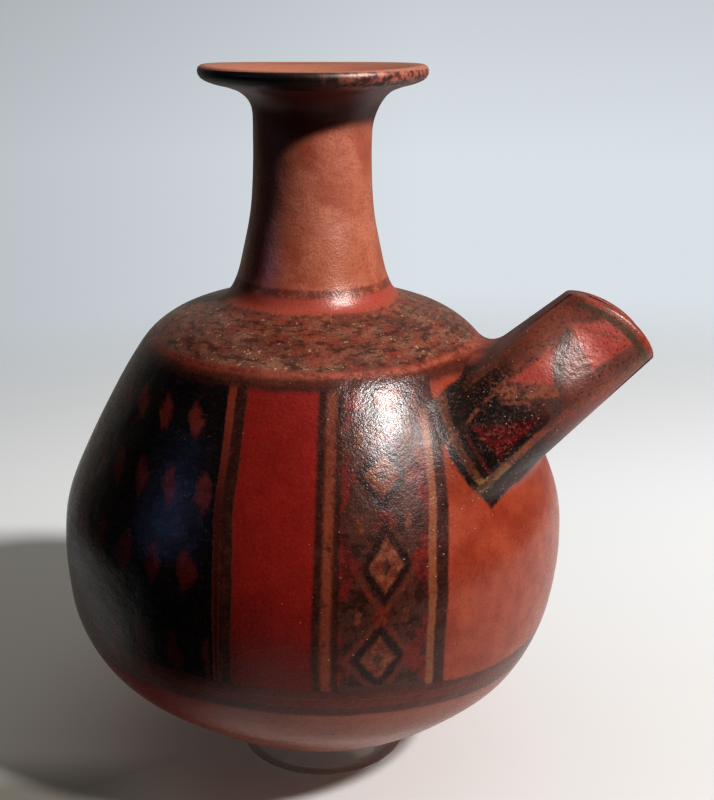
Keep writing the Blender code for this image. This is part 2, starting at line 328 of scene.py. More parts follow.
def lip_rings():
    """Rings over the spout's rounded lip, from its outside to its bore."""
    turns = spout_turns()
    rings = []
    for turn in math.pi * np.arange(1, LIP_RINGS) / LIP_RINGS:
        inset = 0.5 * SPOUT_WALL * (1.0 - math.cos(turn))
        back = SPOUT_LIP * (1.0 - math.sin(turn))
        rings.append(spout_point(turns, np.full(len(turns), back), inset))
    return np.array(rings)


def put_in_scene(name, data):
    """A plain object with this mesh, lamp or camera, at the origin."""
    made = bpy.data.objects.new(name, data)
    bpy.context.scene.collection.objects.link(made)
    return made


def make_vessel():
    """The whole clay wall as one closed mesh, with the attributes its finish reads."""
    outside, inside = smooth_run(OUTSIDE), smooth_run(INSIDE)
    flare = RIM_TOP - FLARE_HEIGHT
    outer_body = outside[:np.argmax(outside[:, 1] > flare)]
    inner_body = inside[::-1][:np.argmax(inside[::-1][:, 1] > flare)]
    throat = inside[:np.argmax(inside[:, 1] < INNER_PATCH[1])]

    runs = [even_run(part_of_run(outer_body, outer_body[0, 1], OUTER_PATCH[0]), LOW_ROWS),
            even_run(part_of_run(outer_body, *OUTER_PATCH), PATCH_ROWS + 1),
            even_run(outside[outside[:, 1] >= OUTER_PATCH[1]], RIM_ROWS),
            even_run(throat, THROAT_ROWS),
            even_run(part_of_run(inner_body, *INNER_PATCH)[::-1], PATCH_ROWS + 1),
            even_run(part_of_run(inner_body, inner_body[0, 1], INNER_PATCH[0])[::-1], FLOOR_ROWS)]
    line = np.concatenate([runs[0][1:-1], runs[1], runs[2][1:], runs[3][1:-1], runs[4],
                           runs[5][1:-1]])
    outer_row = len(runs[0]) - 2
    lip_row = outer_row + len(runs[1]) + len(runs[2]) - 1
    inner_row = lip_row + len(runs[3]) - 2
    wall_turn = 2.0 * math.pi * (np.arange(COLUMNS) / COLUMNS - 0.5)
    wall = clay_points(line[:, :1], wall_turn[None, :], line[:, 1:])

    outer_places = patch_edge(outer_row, 1)
    inner_places = patch_edge(inner_row + PATCH_ROWS, -1)
    outer = spout_patch(wall, outer_places, outer_body, 0.0, OUTER_FILLET, OUTER_RINGS)
    inner = spout_patch(wall, inner_places, inner_body, SPOUT_WALL, INNER_FILLET, INNER_RINGS)

    clay = bmesh.new()
    inside_share = clay.verts.layers.float.new("inside")
    join = clay.verts.layers.float.new("join")
    middle = COLUMNS // 2

    grid = {}
    for row in range(len(wall)):
        for column in range(COLUMNS):
            across = abs(column - middle) < PATCH_HALF_COLUMNS
            if across and any(0 < row - first < PATCH_ROWS for first in (outer_row, inner_row)):
                continue
            vert = clay.verts.new(wall[row, column])
            vert[inside_share] = min(max((row - lip_row + 6) / 10.0, 0.0), 1.0)
            grid[row, column] = vert
    for row in range(len(wall) - 1):
        for column in range(COLUMNS):
            after = (column + 1) % COLUMNS
            corners = [(row, column), (row, after), (row + 1, after), (row + 1, column)]
            across = -PATCH_HALF_COLUMNS <= column - middle < PATCH_HALF_COLUMNS
            if across and any(0 <= row - first < PATCH_ROWS for first in (outer_row, inner_row)):
                continue
            clay.faces.new([grid[corner] for corner in corners])
    for row, height in ((0, outer_body[0, 1]), (len(wall) - 1, inner_body[0, 1])):
        tip = clay.verts.new(clay_points(0.0, 0.0, np.array(height)))
        tip[inside_share] = 1.0 if row else 0.0
        for column in range(COLUMNS):
            clay.faces.new([tip, grid[row, column], grid[row, (column + 1) % COLUMNS]])

    rings = [[grid[place] for place in outer_places]]
    for points, share in ((outer[1:], 0.0), (lip_rings(), 0.5), (inner[:0:-1], 1.0)):
        for ring in points:
            rings.append([clay.verts.new(point) for point in ring])
            for vert in rings[-1]:
                vert[inside_share] = share
    rings.append([grid[place] for place in inner_places])
    for first, second in zip(rings, rings[1:]):
        for index in range(len(first)):
            after = (index + 1) % len(first)
            clay.faces.new((first[index], first[after], second[after], second[index]))

    points = np.array([vert.co for vert in clay.verts])
    difference = 1000.0 * (spout_gap(points, 0.0) - body_gap(points, outer_body))
    x, z = points[:, 0], points[:, 2]
    difference[(x < BOTTLE_X + JOIN_X) | (z < JOIN_LOW) | (z > JOIN_HIGH)] = JOIN_REACH
    for vert, value in zip(clay.verts, np.clip(difference, -JOIN_REACH, JOIN_REACH)):
        vert[join] = value
    bmesh.ops.recalc_face_normals(clay, faces=clay.faces)
    mesh = bpy.data.meshes.new("clay_bottle")
    clay.to_mesh(mesh)
    clay.free()
    mesh.shade_smooth()
    mesh.attributes.new("crust", "FLOAT", "POINT").data.foreach_set("value", crust_map(points))
    return put_in_scene("clay_bottle", mesh)


def crust_map(points):
    """How thickly pale deposit has settled on each point of the outside, 0 to 1."""
    across, away, height = points[:, 0] - BOTTLE_X, points[:, 1], points[:, 2]
    back = -((points - SPOUT_MOUTH) @ FORWARD)
    level = (points - SPOUT_MOUTH) @ UPWARD
    flanks = (across > 0.045) & (abs(level) < 0.016) & (abs(away) > 0.010)
    crust = flanks * np.clip((back - 0.012) / 0.014, 0.0, 1.0) * 0.9
    turn = np.arctan2(away, across)
    stripe = np.exp(-((np.degrees(turn) + 66.0) / 3.5) ** 2) * (height < 0.13) * (height > 0.058)
    shoulder = np.exp(-((height - 0.142) / 0.005) ** 2)
    drift = 0.5 + 0.5 * np.sin(9.0 * turn + 60.0 * height) * np.cos(5.0 * turn - 90.0 * height)
    crust = np.maximum(crust, np.maximum(stripe * 0.35, shoulder * 0.45 * drift))
    crust = np.maximum(crust, 0.05 * drift ** 2)
    throat = (np.hypot(across, away) < 0.034) & (height > 0.160)
    return (crust * ~throat).astype(np.float32)


# ---- node trees and finishes ----

def slip(red, green, blue):
    """A paint colour as the eye names it, 0 to 255, in linear light."""
    shares = [value / 255.0 for value in (red, green, blue)]
    return tuple(value / 12.92 if value <= 0.04045 else ((value + 0.055) / 1.055) ** 2.4
                 for value in shares) + (1.0,)


def reckoning(operation):
    """A method of a wire that reckons it with others."""
    return lambda wire, *others: wire.reckon(operation, *others)


class Wire:
    """A value in a node tree, which can be reckoned with."""

    def __init__(self, trunk, socket):
        self.trunk = trunk
        self.socket = socket

    def reckon(self, operation, *others):
        return self.trunk.wire("ShaderNodeMath", self, *others, operation=operation)

    __add__ = reckoning("ADD")
    __sub__ = reckoning("SUBTRACT")
    __mul__ = reckoning("MULTIPLY")
    __truediv__ = reckoning("DIVIDE")
    __abs__ = reckoning("ABSOLUTE")
    __or__ = reckoning("MAXIMUM")
    __and__ = reckoning("MINIMUM")

    def __rsub__(self, other):
        return self.trunk.wire("ShaderNodeMath", other, self, operation="SUBTRACT")

    def ramp(self, low, high, start, end, **settings):
        """From start to end as the value goes from low to high, and level beyond."""
        return self.trunk.wire("ShaderNodeMapRange", self, low, high, start, end, **settings)

    def step(self, low, high):
        """0 below low, 1 above high, eased in between; the other way round if low > high."""
        return self.ramp(low, high, 0.0, 1.0, interpolation_type="SMOOTHSTEP")

    def band(self, low, high, soft):
        """1 between low and high, with soft edges."""
        half = 0.5 * (high - low)
        return abs(self - (low + half)).step(half + soft, half - soft)

    def fade(self, low, high, first, second):
        """From the first colour to the second as the value goes from low to high."""
        return self.trunk.mix(self.step(low, high), first, second)


class Trunk:
    """A node tree under construction."""

    def __init__(self, tree):
        self.tree = tree

    def feed(self, socket, value):
        """Link an output to a socket, or set the socket's own value."""
        value = value.socket if isinstance(value, Wire) else value
        if isinstance(value, bpy.types.NodeSocket):
            self.tree.links.new(value, socket)
        elif value is not None:
            socket.default_value = value

    def dress(self, node, sockets):
        """Feed a node's inputs by name, with _ for a space."""
        for name, value in sockets.items():
            self.feed(node.inputs[name.replace("_", " ")], value)

    def node(self, kind, *values, **named):
        """Add a node; a name with a capital is an input's, and the rest are settings."""
        made = self.tree.nodes.new(kind)
        sockets = {name: named.pop(name) for name in list(named) if name[0].isupper()}
        for name, value in named.items():
            setattr(made, name, value)
        for socket, value in zip(made.inputs, values):
            self.feed(socket, value)
        self.dress(made, sockets)
        return made

    def wire(self, kind, *values, output=0, **named):
        """Add a node, and give one of its outputs."""
        return Wire(self, self.node(kind, *values, **named).outputs[output])

    def vector(self, operation, *values):
        output = "Value" if operation == "DOT_PRODUCT" else "Vector"
        return self.wire("ShaderNodeVectorMath", *values, output=output, operation=operation)

    def mix(self, share, *colours):
        """The first colour, or as the share rises the second; a plain one is 0 to 255."""
        colours = [slip(*colour) if isinstance(colour, tuple) else colour for colour in colours]
        return self.wire("ShaderNodeMix", share, *[None] * 5, *colours, output=2, data_type="RGBA")


class Finish(Trunk):
    """A material under construction."""

    def __init__(self, name):
        self.material = bpy.data.materials.new(name)
        self.material.use_nodes = True
        super().__init__(self.material.node_tree)

    def surface(self, **sockets):
        """Feed the shader's own sockets."""
        self.dress(self.tree.nodes["Principled BSDF"], sockets)

    def place(self, location=(0, 0, 0), rotation=(0, 0, 0), scale=(1, 1, 1)):
        """Object coordinates, scaled, then turned, then moved."""
        spot = self.wire("ShaderNodeTexCoord", output="Object")
        return self.wire("ShaderNodeMapping", spot, location, rotation, scale)

    def parts(self, spot):
        return [Wire(self, out) for out in self.node("ShaderNodeSeparateXYZ", spot).outputs]

    def combine(self, *values):
        return self.wire("ShaderNodeCombineXYZ", *values)

    def noise(self, spot, scale, detail=2.0, roughness=0.5, output="Fac"):
        return self.wire("ShaderNodeTexNoise", Vector=spot, Scale=scale, Detail=detail,
                         Roughness=roughness, output=output)

    def stray(self, spot, wander, reach):
        """The spot led astray by a noise of three values, half the reach either way."""
        spot = self.vector("MULTIPLY_ADD", wander, (reach,) * 3, spot)
        return self.vector("SUBTRACT", spot, (0.5 * reach,) * 3)

    def attribute(self, name):
        return self.wire("ShaderNodeAttribute", output="Fac", attribute_name=name)

    def triangle(self, spot, corners, soft):
        """1 inside a triangle on the plane of the first two values of the spot."""
        shares = []
        for turn in range(3):
            first, second, third = np.roll(corners, -turn, axis=0)
            run = (second - first) / np.hypot(*(second - first))
            normal = np.array([-run[1], run[0]])
            normal = normal * np.sign(normal @ (third - first))
            shares.append(self.vector("DOT_PRODUCT", spot, (*normal, -(normal @ first))))
        return least(shares).step(-soft, soft)


def least(wires):
    """The least of several values."""
    return functools.reduce(operator.and_, wires)


class Coat:
    """Slips laid one over another."""

    def __init__(self, finish, colour):
        self.finish = finish
        self.colour = colour

    def lay(self, share, colour):
        self.colour = self.finish.mix(share, self.colour, colour)


LIGHT_RED = (158, 80, 57)
RUST_RED = (138, 60, 42)
DEEP_RED = (142, 43, 36)
TERRACOTTA = (205, 135, 112)
TERRACOTTA_TAN = (182, 110, 84)
BASE_BROWN = (166, 101, 82)
BLACK_SLIP = (25, 17, 16)
BROWN_SLIP = (62, 35, 30)
OLIVE_SLIP = (98, 74, 56)
ORANGE_SLIP = (132, 71, 51)
CREAM_SLIP = (138, 86, 61)
DUSKY_RED = (104, 38, 30)
RIM_ORANGE = (178, 120, 99)
RAW_CLAY = (120, 66, 48)
DEPOSIT = (200, 172, 144)

# Painted zones, as heights in millimetres above the ring's underside
BASE_TOP = 50.0
LOW_STRIPE = (53.3, 56.0)
LOW_BAND_TOP = 58.9
PANEL_LINE = (133.2, 136.2)
SHOULDER_LINE = (136.4, 137.4)
SHOULDER = (137.6, 148.0)
NECK_RING = (148.2, 151.5)
RIM_FOOT = 196.0

# Upright stripes, in millimetres around from a line 75 degrees off the spout, towards it
FRONT_TURN = 1.309
BLACK_EDGE = -19.6
FIRST_STRIPE = -19.1
FIRST_BROWN = (-18.4, -14.8)
SECOND_BROWN, SECOND_STRIPE = (6.4, 13.6), (8.6, 11.2)
THIRD_STRIPE = 39.0
LEAN_START = 98.0

# Slim lozenges: distance apart and half width; and ringed diamonds: height and half height
LOZENGE_PITCH, LOZENGE_HALF = 11.2, 3.0
DIAMONDS = [(131.5, 4.8), (113.8, 5.0), (92.8, 6.2), (67.4, 6.0)]
CHAIN_MIDDLE, DIAMOND_HALF = 24.9, 4.5

# The spout's painted face: half its size at the mouth, how it grows, and its slanting root
FACE_HALF, FACE_HEIGHTENING, FACE_WIDENING, FACE_EDGE = 13.8, 0.0597, 0.4952, 15.0
ROOT_BACK, ROOT_LEAN = 46.4, 0.21


def lozenge_rows(around, up, thin, mottle):
    """Rows of slim lozenges, set closer together towards the shoulder."""
    rise = up - 77.0
    row = rise * 0.0417 + rise * rise * 0.00025 + 0.464
    number = row.reckon("ROUND")
    sway = ((number - 1.0) * 1.5708).reckon("SINE") * 4.2
    shifted = around + 27.8 - sway + (mottle - 0.5) * 6.0
    across = shifted - (shifted / LOZENGE_PITCH).reckon("ROUND") * LOZENGE_PITCH
    tall = abs(row - number + (mottle - 0.5) * 0.2) / 0.27
    wide = abs(across) / LOZENGE_HALF
    size = wide.reckon("POWER", 1.35) + tall.reckon("POWER", 1.35)
    return (size + (thin - 0.5) * 1.1).step(1.42, 0.5)


def diamond_chain(around, up, thin):
    """Chain of ringed diamonds: its pale rings, their outlines, strokes, reds and dots."""
    off_centre = abs(around - CHAIN_MIDDLE - ((up - 80.0) / 8.0).reckon("SINE"))
    tall = least(abs(up - height) / half for height, half in DIAMONDS)
    nest = off_centre / DIAMOND_HALF + tall + (thin - 0.5) * 0.55
    rings = nest.band(0.34, 1.06, 0.18)
    outline = nest.band(1.14, 1.66, 0.16)
    strokes = nest.band(1.8, 2.2, 0.14) * up.step(98.0, 86.0)
    beside = least(abs(up - height) for height, _ in DIAMONDS)
    between = least(abs(up - height) for height in (103.0, 79.6, 122.6))
    flanks = (off_centre - 6.4 - beside * 0.62 + (thin - 0.5) * 6.0).step(-0.8, 0.8)
    knots = (off_centre + between * 0.8 + (thin - 0.5) * 4.0).step(3.9, 2.4)
    dot = (off_centre - 6.6) * (off_centre - 6.6) + (between - 1.0) * (between - 1.0)
    return rings, outline, strokes, flanks | knots, dot.step(1.5, 0.4) * 0.8


def spout_painting(clay, quick, thin, mottle, grains, join):
    """The spout's mask, colour and curl, measured back from its mouth and up its face."""
    sine, cosine = math.sin(SPOUT_SLOPE), math.cos(SPOUT_SLOPE)
    east, _, high = 1000.0 * SPOUT_MOUTH
    spot = clay.place(location=(-east * cosine - high * sine, 0.0, east * sine - high * cosine),
                      rotation=(0, SPOUT_SLOPE, 0), scale=(1000.0,) * 3)
    ahead, side, rise = clay.parts(clay.stray(spot, quick, 0.9))
    back = ahead * -1.0
    level = rise / (back * FACE_HEIGHTENING + FACE_HALF) * FACE_EDGE
    flank = (abs(side) / (back * FACE_WIDENING + FACE_HALF)).step(0.4, 0.52)
    cut = rise * CUT_UPWARD + side * CUT_SIDEWAYS + rise * rise * (0.001 * CUT_HOLLOW)
    from_end = back - (cut + 1000.0 * CUT_START)
    root = back + level * ROOT_LEAN - ROOT_BACK
    face = clay.combine(back, level, 1.0)
    scuff = thin - 0.5

    # Ground, from a thin slip near the mouth to nearly black at the root
    deep = thin.fade(0.42, 0.66, BLACK_SLIP, (56, 30, 26))
    # The thin slip near the mouth is paler and greyer partly as painted sheen.
    thin_slip_and_sheen = mottle.fade(0.35, 0.65, (112, 70, 62), (136, 84, 73))
    coat = Coat(clay, (back + scuff * 14.0).fade(19.0, 31.0, thin_slip_and_sheen, deep))
    # A dark diagonal band, greyed as painted sheen.
    coat.lay((back * 0.722 + level * 0.692 + scuff).band(10.6, 13.4, 0.5) * 0.8, (92, 72, 66))
    coat.lay(level.step(7.0, 9.5) * (back + scuff * 10.0).step(29.0, 21.0), (126, 74, 62))

    # Red triangles: two that meet near the mouth, one at the middle, a low one at the root
    reds = (clay.triangle(face, [(6.8, 8.4), (9.6, -4.8), (-2.4, -7.2)], 0.9)
            | clay.triangle(face, [(6.8, 8.4), (-2.4, -7.2), (-0.6, 3.0)], 0.9))
    reds = reds & from_end.step(3.8, 4.4)
    reds = reds | clay.triangle(face, [(14.4, 6.9), (19.3, -0.7), (27.2, 7.4)], 0.9)
    coat.lay(reds, thin.fade(0.4, 0.6, (168, 78, 68), (176, 92, 80)))
    across = back * 0.663 - level * 0.749
    rubbed = across.band(13.3, 16.6, 0.6) & back.band(19.0, 31.0, 1.5)
    coat.lay(rubbed * thin.step(0.4, 0.6), (150, 92, 72))
    low_red = clay.triangle(face, [(40.4, 4.4), (26.8, -5.2), (40.4, -6.0)], 0.7)
    coat.lay(low_red, thin.fade(0.4, 0.62, (70, 13, 18), (112, 26, 28)))

    # Lines along the face's edges and around its root
    coat.lay(level.step(13.4, 14.0), back.fade(26.0, 38.0, (132, 78, 68), deep))
    upper_line = level.band(12.0, 13.7, 0.35) & back.step(40.0, 30.0)
    inner_line = (level - (12.4 - back * 0.155)).band(-0.45, 0.45, 0.3) * thin.step(0.62, 0.5)
    short_line = across.band(17.0, 18.0, 0.3) & back.band(26.0, 31.5, 0.6)
    bottom_line = level + 8.5 + (25.0 - (back & 25.0)) * 0.2
    lower_line = bottom_line.band(-1.0, 1.0, 0.35) & back.step(-2.0, 0.5)
    coat.lay(bottom_line.step(-1.0, -1.5), back.fade(20.0, 36.0, (132, 64, 54), deep))
    root_line = root.band(-1.1, 0.9, 0.35) & level.step(-10.0, -8.5)
    root_inner = root.band(-3.6, -2.7, 0.3) & level.band(-8.0, 4.0, 0.8)
    lines = upper_line | lower_line | (short_line * 0.9)
    lines = (lines & root.step(-0.6, -1.2)) * thin.step(0.72, 0.56)
    coat.lay((lines * 0.88) | (inner_line * 0.7),
             thin.fade(0.42, 0.6, (146, 78, 56), (112, 66, 53)))
    ochre = thin.fade(0.4, 0.58, (150, 112, 66), (86, 56, 36))
    coat.lay(root_line * thin.step(0.74, 0.6) * 0.9, level.fade(-2.0, -8.0, (98, 56, 36), ochre))
    coat.lay((lower_line & back.step(38.0, 42.0)) * 0.8, ochre)
    coat.lay(root_inner * 0.7, DUSKY_RED)
    coat.lay(from_end.band(2.1, 3.9, 0.4) & level.step(12.6, 11.6), OLIVE_SLIP)
    coat.lay(from_end.step(2.4, 1.7), thin.fade(0.4, 0.6, (150, 74, 60), (122, 64, 52)))

    # Pitting, and the plainer flanks
    pitted = grains.step(0.52, 0.64) * back.step(6.0, 26.0)
    coat.lay(pitted * mottle.step(0.42, 0.58) * 0.5, (150, 108, 88))
    coat.lay(grains.step(0.44, 0.34) * 0.5, (36, 20, 18))
    plain = mottle.fade(0.4, 0.6, (104, 50, 42), (142, 68, 54))
    colour = clay.mix(flank, plain, coat.colour)
    on_face = join.step(8.0, 7.0) & level.step(-14.4, -13.6) & level.step(15.8, 15.0)
    on_spout = (join.step(0.5, -0.1) | on_face) & (root + scuff * 1.5).step(3.0, 2.1)
    return on_spout, colour, back.step(20.0, 4.0) * flank * -2.9


def slipped_clay():
    """The painted, burnished and worn clay, inside and out."""
    clay = Finish("slip_painted_clay")
    spot = clay.place(location=(-1000.0 * BOTTLE_X, 0.0, 0.0), scale=(1000.0,) * 3)

    # The painter's hand: lines stray slowly and their edges are a little brushy
    slow = clay.noise(spot, 0.045, 1.0, 0.4, "Color")
    quick = clay.noise(spot, 0.5, 3.0, 0.6, "Color")
    x, y, up = clay.parts(clay.stray(clay.stray(spot, slow, 1.6), quick, 0.8))
    radius = (x * x + y * y).reckon("SQRT")
    half_turn = abs(y).reckon("ARCTAN2", x)
    around = (FRONT_TURN - half_turn) * radius
    from_back = (math.pi - half_turn) * radius
    mottle = clay.noise(spot, 0.11, 5.0, 0.62)
    thin = clay.noise(spot, 0.34, 5.0, 0.7)
    grains = clay.noise(spot, 1.25, 3.0, 0.7)
    inside = clay.attribute("inside")
    join = clay.attribute("join") + (mottle - 0.5) * 3.0

    # Bands above the base, which sag towards the spout's side
    sag = ((around | -25.0) & 60.0) + 25.0
    hung = up + sag * sag * 0.00068
    in_panels = hung.step(58.1, 59.1) & up.step(135.0, 134.3)
    low_dark = (hung.band(LOW_STRIPE[1], LOW_BAND_TOP, 0.5)
                | hung.band(BASE_TOP, LOW_STRIPE[0], 0.6))
    base = hung.step(BASE_TOP + 0.7, BASE_TOP - 0.3)
    base_left = around.step(-8.0, -46.0)

    # Upright stripes, which lean together as the wall narrows to the shoulder
    high_up = (up | LEAN_START) - LEAN_START
    lean = high_up * high_up
    first = around - lean * 0.0018
    third = around + lean * 0.0040 - THIRD_STRIPE
    black_field = first.step(BLACK_EDGE, BLACK_EDGE - 0.7)
    first_stripe = (abs(first - FIRST_STRIPE) - (up - 60.0) * 0.009).step(0.85, 0.2)
    brown_stripes = (first.band(*FIRST_BROWN, 0.4) | around.band(*SECOND_BROWN, 0.6)
                     | third.band(-1.6, 4.6, 0.5))
    red_panel = first.step(-15.2, -14.4) & around.step(7.2, 6.4)
    chain_field = around.step(12.8, 13.4) & third.step(-0.7, -1.4)
    cream_stripe = third.band(-1.1, 1.1, 0.4) & up.step(129.5, 124.0)

    # Fields of colour, laid one over another as the slips are
    coat = Coat(clay, mottle.fade(0.3, 0.7, RUST_RED, LIGHT_RED))
    # The base: a paler, greyer brown that is partly painted reflection of the floor, and a deeper
    # red on the left, where that painted reflection is left out.
    base_red = clay.mix(mottle, (138, 74, 58), BASE_BROWN)
    coat.lay(base, clay.mix(base_left, base_red, (148, 50, 44)))
    panel_red = mottle.fade(0.3, 0.7, DEEP_RED, (130, 39, 33))
    # The red panels darken towards the bottom: painted shade.
    panel_red = clay.mix(hung.step(84.0, 62.0) * 0.55, panel_red, (84, 26, 22))
    coat.lay(red_panel & in_panels, panel_red)
    brown = thin.fade(0.36, 0.7, (60, 33, 28), (86, 46, 38))
    black = mottle.fade(0.46, 0.66, BLACK_SLIP, (40, 24, 21))
    # The black turns brown towards the far left: painted sheen.
    black = clay.mix(first.step(-46.0, -78.0) * 0.8, black, (66, 40, 35))
    coat.lay(black_field & in_panels, black)
    coat.lay(brown_stripes & in_panels, brown)
    coat.lay(chain_field & in_panels, clay.mix(0.6, brown, (92, 58, 49)))

    # Figures: lozenges on the black, the chain of diamonds on the brown
    lozenges = lozenge_rows(around, up, thin, mottle) & first.step(-20.8, -21.6)
    coat.lay(lozenges * thin.step(0.74, 0.5) * 0.9 & in_panels,
             up.fade(104.0, 120.0, (100, 36, 32), (122, 52, 38)))
    rings, outline, strokes, reds, dots = diamond_chain(around, up, thin)
    in_chain = chain_field & in_panels & hung.step(60.2, 61.4)
    smudges = (thin + (mottle - 0.5) * 0.5).step(0.52, 0.4) * up.step(112.0, 98.0)
    coat.lay((smudges * 0.65) & in_chain, (46, 26, 23))
    coat.lay(reds & in_chain, thin.fade(0.38, 0.6, (78, 38, 33), (116, 44, 35)))
    coat.lay((strokes * thin.step(0.62, 0.48) * 0.7) & in_chain, (122, 60, 44))
    coat.lay((outline * 0.75) & in_chain, (42, 25, 23))
    coat.lay((rings | dots) & in_chain, thin.fade(0.36, 0.6, (140, 86, 62), (104, 54, 40)))

    # The back's panel, and the orange and cream stripes all round
    coat.lay(from_back.step(17.2, 16.6) & in_panels, panel_red)
    coat.lay(from_back.band(9.2, 17.0, 0.4) & in_panels, brown)
    worn_orange = clay.mix(thin.step(0.48, 0.7) * 0.8, ORANGE_SLIP, BROWN_SLIP)
    worn_orange = clay.mix(up.step(112.0, 130.0) * 0.45, worn_orange, (112, 60, 46))
    orange_stripes = around.band(*SECOND_STRIPE, 0.7) | from_back.band(11.5, 13.8, 0.4)
    coat.lay(orange_stripes & in_panels, worn_orange)
    coat.lay(first_stripe & in_panels, up.fade(128.0, 102.0, (130, 63, 46), (76, 33, 28)))
    coat.lay(cream_stripe & in_panels,
             clay.mix(thin.step(0.5, 0.7) * 0.6, CREAM_SLIP, (104, 64, 48)))
    coat.lay(low_dark * 0.8, brown)
    coat.lay(hung.band(*LOW_STRIPE, 0.5) * 0.9, thin.fade(0.4, 0.62, (110, 47, 37), (90, 38, 32)))

    # Shoulder: a worn painted zone between lines, and the rings at the neck's foot
    patchy = clay.noise(clay.vector("MULTIPLY", spot, (1.0, 1.0, 1.7)), 0.16, 6.0, 0.68)
    arcs = clay.noise(clay.combine(half_turn * 16.0, radius * 0.9, 0.0), 0.55, 4.0, 0.65)
    zone = Coat(clay, mottle.fade(0.32, 0.68, (104, 65, 55), (146, 106, 87)))
    zone.lay(patchy.step(0.44, 0.66) * 0.75, (142, 66, 51))
    zone.lay(arcs.step(0.49, 0.61) * 0.7, (60, 36, 32))
    zone.lay(arcs.step(0.42, 0.32) * 0.55, (156, 86, 66))
    zone.lay(grains.step(0.5, 0.62) * 0.5, (58, 35, 31))
    flecks = clay.noise(spot, 0.85, 2.0, 0.5).step(0.64, 0.72)
    zone.lay(flecks * patchy.step(0.62, 0.48) * 0.9, (188, 156, 126))
    coat.lay(up.band(*SHOULDER, 0.4), zone.colour)
    pale_line = thin.fade(0.42, 0.6, (156, 94, 76), (108, 60, 50))
    pale_line = clay.mix(around.step(6.0, -22.0) * 0.7, pale_line, (104, 48, 40))
    coat.lay(up.band(*PANEL_LINE, 0.9) * 0.85, brown)
    coat.lay(up.band(*SHOULDER_LINE, 0.5) * 0.85, pale_line)
    coat.lay(up.band(146.6, 147.5, 0.3) * 0.7, pale_line)
    coat.lay(up.band(147.7, 148.6, 0.3) * 0.6, (172, 92, 72))
    coat.lay(up.band(*NECK_RING, 0.4), (166, 84, 70))

    # Neck: burnished terracotta over a faint dark ring
    neck = Coat(clay, mottle.fade(0.3, 0.7, TERRACOTTA_TAN, TERRACOTTA))
    neck.lay(clay.noise(spot, 0.065, 3.0, 0.6).step(0.48, 0.66) * 0.55, (168, 82, 66))
    neck.lay(grains.step(0.36, 0.64) * 0.55, (138, 76, 58))
    neck.lay(grains.step(0.55, 0.68) * patchy.step(0.44, 0.6) * 0.5, (214, 142, 100))
    # Darker and redder just under the rim: painted shade.
    neck.lay(up.step(194.0, 203.0) * 0.85, (104, 42, 36))
    coat.lay(up.step(151.2, 151.8), neck.colour)
    coat.lay(up.band(151.4, 153.6, 0.5) * thin.step(0.3, 0.55) * 0.72, (96, 50, 44))

    # Rim: orange on top and in the mouth, with a dark edge that is worn on the spout's side
    mouth = inside.step(0.4, 0.7) & up.step(RIM_FOOT, 204.0)
    coat.lay(up.step(211.4, 212.6) | mouth, RIM_ORANGE)
    rim_up = clay.parts(spot)[2] - (x * VIEW_SINE - y * VIEW_COSINE) / radius * 0.45
    rim_band = radius.step(28.2, 29.4) & up.step(205.8, 207.2) & rim_up.step(213.0, 212.7)
    rim_worn = thin.fade(0.4, 0.58, (82, 46, 41), (174, 110, 92))
    coat.lay(rim_band, half_turn.fade(1.3, 0.75, black, rim_worn))

    on_spout, spout_colour, curl = spout_painting(clay, quick, thin, mottle, grains, join)
    coat.lay(on_spout, spout_colour)

    # Wear that all the slips share, and specks of pale deposit in drifts
    coat.lay(grains.step(0.54, 0.72) * 0.26, (136, 82, 66))
    coat.lay(grains.step(0.46, 0.34) * 0.22, (30, 18, 16))
    drift = clay.noise(spot, 0.050, 2.0, 0.5).step(0.44, 0.66)
    cells = clay.node("ShaderNodeTexVoronoi", Vector=spot, Scale=0.42)
    chance = clay.parts(cells.outputs["Color"])[0]
    speck = Wire(clay, cells.outputs["Distance"]) + chance * 0.06
    few = 1.0 - (chance - drift * 0.3).step(0.72, 0.66)
    coat.lay(speck.step(0.14, 0.07) * few * 0.75, DEPOSIT)

    # One nick in the wall, and bare clay in the hollow below the mouth
    across, away, above = clay.parts(clay.vector("SUBTRACT", spot, (28.0, -60.5, 40.6)))
    nick = (across * across * 0.5 + above * above * 7.0 + away * away * 0.3).reckon("SQRT")
    coat.lay(nick.step(1.1, 0.7), (40, 20, 16))
    coat.lay(inside.step(0.9, 1.0) & up.step(204.0, RIM_FOOT),
             clay.mix(mottle, (88, 48, 36), RAW_CLAY))

    # Burnish: glossiest on the painted body, duller on neck, spout and inside
    streaks = clay.noise(clay.vector("MULTIPLY", spot, (0.16, 0.16, 1.3)), 0.55, 3.0, 0.6)
    near_root = join.step(15.0, 7.0) * (1.0 - on_spout)
    dull = ((near_root * 0.08) | (up.step(144.0, 148.0) * 0.07) | (up.step(158.0, 172.0) * 0.17)
            | (on_spout * 0.12))
    roughness = (streaks - 0.5) * 0.16 + (grains - 0.5) * 0.14 + 0.265 + dull
    gloss = (on_spout * 0.1 + up.step(152.0, 156.0) * 0.32 + 0.52 - near_root * 0.22
             - base * base_left * 0.3)
    relief = grains * 0.11 + clay.noise(spot, 0.1, 2.0, 0.5) * 0.35 + curl * on_spout
    bump = clay.wire("ShaderNodeBump", Strength=1.0, Distance=0.001, Height=relief)
    clay.surface(Base_Color=coat.colour, Roughness=roughness + inside.step(0.9, 1.0) * 0.35,
                 Specular_IOR_Level=gloss, Normal=bump)
    return clay.material


